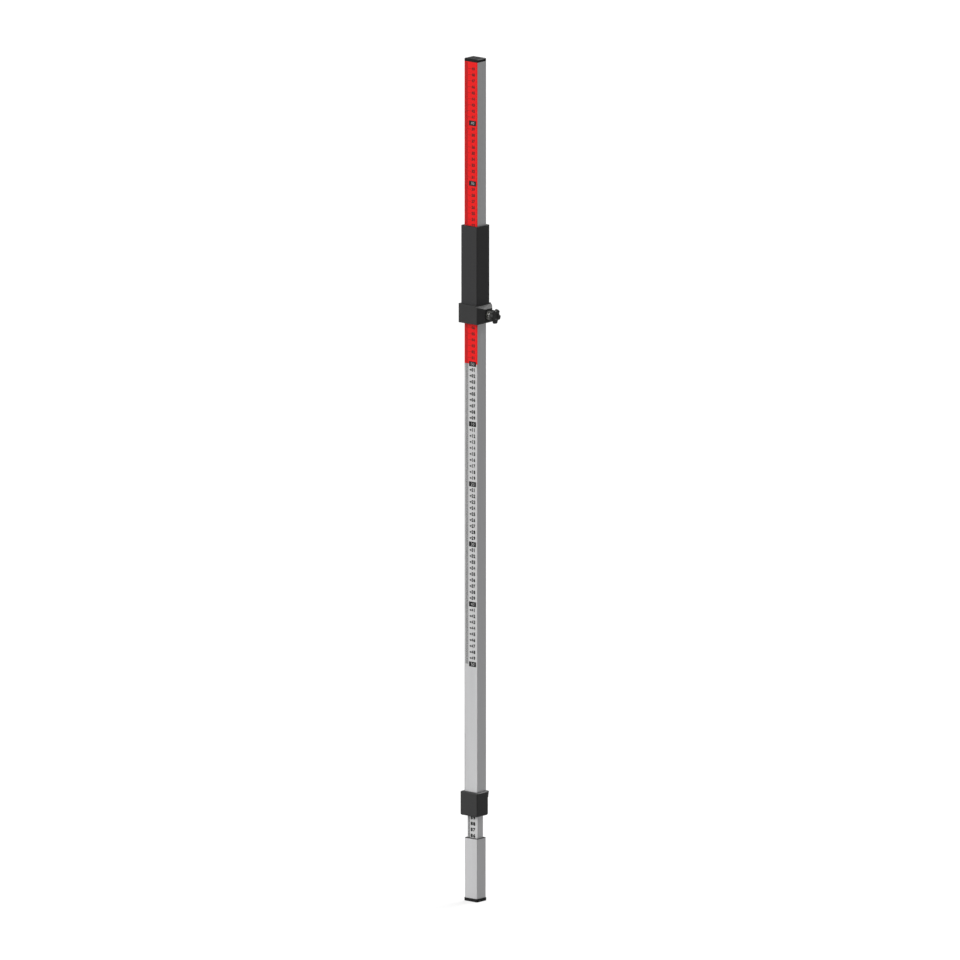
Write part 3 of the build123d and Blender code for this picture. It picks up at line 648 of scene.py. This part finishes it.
def makeScrew(shank):  # pan head with its top at Z 0 and a cross recess, on a shank of this length in mm
    clearSelection()
    bpy.ops.mesh.primitive_circle_add(vertices=screw["sides"], radius=screw["headRadius"] * mm,
                                      fill_type="NGON")
    piece = newest("screw")
    edit(piece)
    bpy.ops.mesh.select_all(action="SELECT")
    push(z=-screw["headHeight"] * mm)
    pick(piece, "FACE", lambda f: f.calc_center_median().z < -(screw["headHeight"] - near) * mm)
    bpy.ops.mesh.inset(thickness=(screw["headRadius"] - screw["shankRadius"]) * mm)
    push(z=-shank * mm)
    pick(piece, "EDGE", lambda e: all(abs(v.co.z) < near * mm for v in e.verts))
    bpy.ops.mesh.bevel(offset=screw["crown"] * mm, segments=screw["crownSteps"], profile=0.5)
    tidyMesh(piece)
    arms = []
    for turn in (0, 90):  # the recess is cut by two tapered bars
        clearSelection()
        bpy.ops.mesh.primitive_cube_add(size=1, rotation=(0, 0, math.radians(turn)))
        arm = newest("arm")
        arm.scale = (screw["slotLength"] * mm, screw["slot"] * mm, 2 * screw["slotDepth"] * mm)
        bake(arm)
        edit(arm)
        pick(arm, "FACE", lambda f: f.normal.z < -0.9)  # the lower end
        bpy.ops.transform.resize(value=(screw["slotTaper"], screw["slotTaper"], 1))
        bpy.ops.object.mode_set(mode="OBJECT")
        arms.append(arm)
    for arm in arms:
        cut = piece.modifiers.new("recess", "BOOLEAN")
        cut.operation = "DIFFERENCE"
        cut.solver = "EXACT"
        cut.object = arm
    applyModifiers(piece)
    for arm in arms:
        bpy.data.objects.remove(arm)
    tidyMesh(piece)
    return piece


def pointAt(place, out):  # matrix that puts a screw's top at a place, facing out
    return Matrix.Translation(place) @ Vector(out).to_track_quat("Z", "Y").to_matrix().to_4x4()


def makeScrews():
    low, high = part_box("housing_screws")
    model = makeScrew((high.x - low.x) / mm - screw["headHeight"])
    inset = screw["headRadius"] * mm
    copies = [copyOf(model, pointAt((low.x, y, (low.z + high.z) / 2), (-1, 0, 0)))
              for y in (low.y + inset, high.y - inset)]
    bpy.data.objects.remove(model)
    finishPiece(joined("housing_screw_pair", copies), "outer_staff", finishes["steel"],
                ["housing_screws"])
    low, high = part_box("carriage_screws")
    sleeve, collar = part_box("carriage_sleeve")[1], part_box("carriage_collar")[1]
    heads = ((collar.y, low.z + inset), (sleeve.y + screw["headHeight"] * mm, high.z - inset))
    copies = []
    for top, z in heads:
        model = makeScrew((top - low.y) / mm - screw["headHeight"])
        copies.append(copyOf(model, pointAt((0, top, z), (0, 1, 0))))
        bpy.data.objects.remove(model)
    finishPiece(joined("carriage_screw_pair", copies), "carriage", finishes["steel"],
                ["carriage_screws"])
    print("screws: two in the housing,", len(heads), "in the carriage")


rivet = {  # mm
    "headRadius": 3.2, "headHeight": 1.2, "rim": 0.25, "mandrelRadius": 0.95, "mandrelDepth": 0.5,
    "shankRadius": 1.6, "sides": 32, "rings": 5,
}


def makeRivet(shank):  # domed head on Z 0 with the broken mandrel in its middle, and a shank below
    clearSelection()
    bpy.ops.mesh.primitive_circle_add(vertices=rivet["sides"], radius=rivet["headRadius"] * mm,
                                      fill_type="NGON")
    piece = newest("rivet")
    edit(piece)
    bpy.ops.mesh.select_all(action="SELECT")
    push(z=rivet["rim"] * mm)
    rise = rivet["headHeight"] - rivet["rim"]
    radius, height = rivet["headRadius"], 0.0
    for ring in range(1, rivet["rings"] + 1):  # a quarter of an ellipse up to the mandrel's hole
        turn = math.pi / 2 * ring / rivet["rings"]
        nextRadius = rivet["mandrelRadius"] + (rivet["headRadius"] - rivet["mandrelRadius"]) * math.cos(turn)
        bpy.ops.mesh.inset(thickness=(radius - nextRadius) * mm)
        bpy.ops.transform.translate(value=(0, 0, (rise * math.sin(turn) - height) * mm))
        radius, height = nextRadius, rise * math.sin(turn)
    push(z=-rivet["mandrelDepth"] * mm)
    pick(piece, "FACE", lambda f: f.calc_center_median().z < near * mm and len(f.verts) > 4)
    bpy.ops.mesh.inset(thickness=(rivet["headRadius"] - rivet["shankRadius"]) * mm)
    push(z=-shank * mm)
    tidyMesh(piece)
    return piece


def makeRivets():
    low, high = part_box("foot_rivets")
    seat = high.y - rivet["headHeight"] * mm
    model = makeRivet((seat - low.y) / mm)
    copies = [copyOf(model, pointAt((0, seat, z), (0, 1, 0)))
              for z in (low.z + rivet["headRadius"] * mm, high.z - rivet["headRadius"] * mm)]
    bpy.data.objects.remove(model)
    finishPiece(joined("foot_rivet_pair", copies), "lower_staff", finishes["aluminium"],
                ["foot_rivets"])
    print("rivets:", len(copies))


makeScrews()
makeRivets()


# Studio: pale floor, soft lamps, white surround and the photograph's viewing angle

view = {  # where the camera stands, from the photograph
    "azimuth": 40.0, "elevation": 11.4, "pixelsPerMm": 0.6126, "imageSize": 960,
    "axisX": 475.3, "groundY": 901.2, "lens": 1600.0, "sensor": 36.0,
    "clipStart": 1.0, "clipReach": 4,  # m, and times the camera's distance
}


def addCamera():
    a, e = math.radians(view["azimuth"]), math.radians(view["elevation"])
    back = Vector((math.sin(a) * math.cos(e), -math.cos(a) * math.cos(e), math.sin(e)))
    right = Vector((math.cos(a), math.sin(a), 0))
    half = view["imageSize"] / 2
    aside = (half - view["axisX"]) / view["pixelsPerMm"] * mm
    height = (view["groundY"] - half) / (view["pixelsPerMm"] * math.cos(e)) * mm
    distance = view["imageSize"] / view["pixelsPerMm"] * mm * view["lens"] / view["sensor"]
    aim = Vector((0, 0, height)) + right * aside
    clearSelection()
    bpy.ops.object.camera_add(location=aim + back * distance)
    camera = newest("camera")
    camera.rotation_mode = "QUATERNION"
    camera.rotation_quaternion = (-back).to_track_quat("-Z", "Y")
    camera.data.lens = view["lens"]
    camera.data.sensor_width = view["sensor"]
    camera.data.clip_start = view["clipStart"]
    camera.data.clip_end = view["clipReach"] * distance
    bpy.context.scene.camera = camera


studio = {
    "floorSize": 400.0, "floorColour": "#7F7F7F", "floorGlow": 0.72, "ambient": 0.185, "lampDistance": 3.0,
    # painted reflection: near the foot the floor glows for glossy rays, so the metal's sides read lighter low
    # down
    "pool": (0.22, 0.26, 0.0), "poolReach": (0.1, 5.0),  # m, centre of a painted glow that only reflections see on the floor, and how far out it fades
    "paintedGlowShare": (0.23, 0.0),  # near the pool and far from it
    "lamps": {  # direction that the light comes from, strength, angle across
        "key": ((-0.36, -0.80, 0.48), 3.05, 55),
        "overhead": ((0.1, 0.15, 1.0), 0.4, 80),
        "behind": ((0.06, 0.72, 0.69), 3.8, 40),
        "left": ((-0.93, 0.36, 0.10), 2.2, 40),
    },
}


def addFloor():
    clearSelection()
    bpy.ops.mesh.primitive_plane_add(size=studio["floorSize"])
    floor = newest("floor")
    made, tree, shader, place = startMaterial("pale_floor", Roughness=0.9, Specular_IOR_Level=0.0,
                                              Base_Color=linear(studio["floorColour"]))
    rays = addNode(tree, "ShaderNodeLightPath").outputs
    seen = addNode(tree, "ShaderNodeMath", {0: rays["Is Camera Ray"], 1: rays["Is Transmission Ray"]},
                   operation="MAXIMUM")
    # painted glow seen only in reflections, strongest at the pool and fading away from it
    far = addNode(tree, "ShaderNodeVectorMath", {0: place, 1: studio["pool"]}, operation="DISTANCE")
    (first, last), (most, least) = studio["poolReach"], studio["paintedGlowShare"]
    fading = addNode(tree, "ShaderNodeMapRange", {"Value": far.outputs["Value"], "From Min": first,
                                                  "From Max": last, "To Min": most, "To Max": least})
    paintedGlowInGloss = addNode(tree, "ShaderNodeMath", {0: rays["Is Glossy Ray"], 1: fading.outputs[0]},
                       operation="MULTIPLY")
    share = addNode(tree, "ShaderNodeMath", {0: seen.outputs[0], 1: paintedGlowInGloss.outputs[0]}, operation="MAXIMUM")
    strength = addNode(tree, "ShaderNodeMath", {0: share.outputs[0], 1: studio["floorGlow"]},
                       operation="MULTIPLY")
    glow = addNode(tree, "ShaderNodeEmission", {"Strength": strength.outputs[0]})
    both = addNode(tree, "ShaderNodeAddShader", {0: shader.outputs[0], 1: glow.outputs[0]})
    tree.links.new(both.outputs[0], tree.nodes["Material Output"].inputs["Surface"])
    floor.data.materials.append(made)


def addLamps():
    for name, (direction, strength, angle) in studio["lamps"].items():
        clearSelection()
        bpy.ops.object.light_add(type="SUN", location=Vector(direction) * studio["lampDistance"])
        lamp = newest(name)
        lamp.rotation_mode = "QUATERNION"
        lamp.rotation_quaternion = Vector(direction).to_track_quat("Z", "Y")
        lamp.data.energy = strength
        lamp.data.angle = math.radians(angle)


def addWorld():  # grey light all round, white where the camera looks past the floor
    world = bpy.data.worlds.new("studio")
    bpy.context.scene.world = world
    world.use_nodes = True
    tree = world.node_tree
    rays = addNode(tree, "ShaderNodeLightPath").outputs
    seen = addNode(tree, "ShaderNodeMath", {0: rays["Is Camera Ray"], 1: rays["Is Transmission Ray"]},
                   operation="MAXIMUM")
    level = addNode(tree, "ShaderNodeMapRange", {"Value": seen.outputs[0], "To Min": studio["ambient"],
                                                 "To Max": 1.0})
    tree.links.new(level.outputs[0], tree.nodes["Background"].inputs["Strength"])
    tree.nodes["Background"].inputs["Color"].default_value = linear("#FFFFFF")


addCamera()
addFloor()
addLamps()
addWorld()
bpy.context.scene.view_settings.view_transform = "Standard"
print("studio ready")
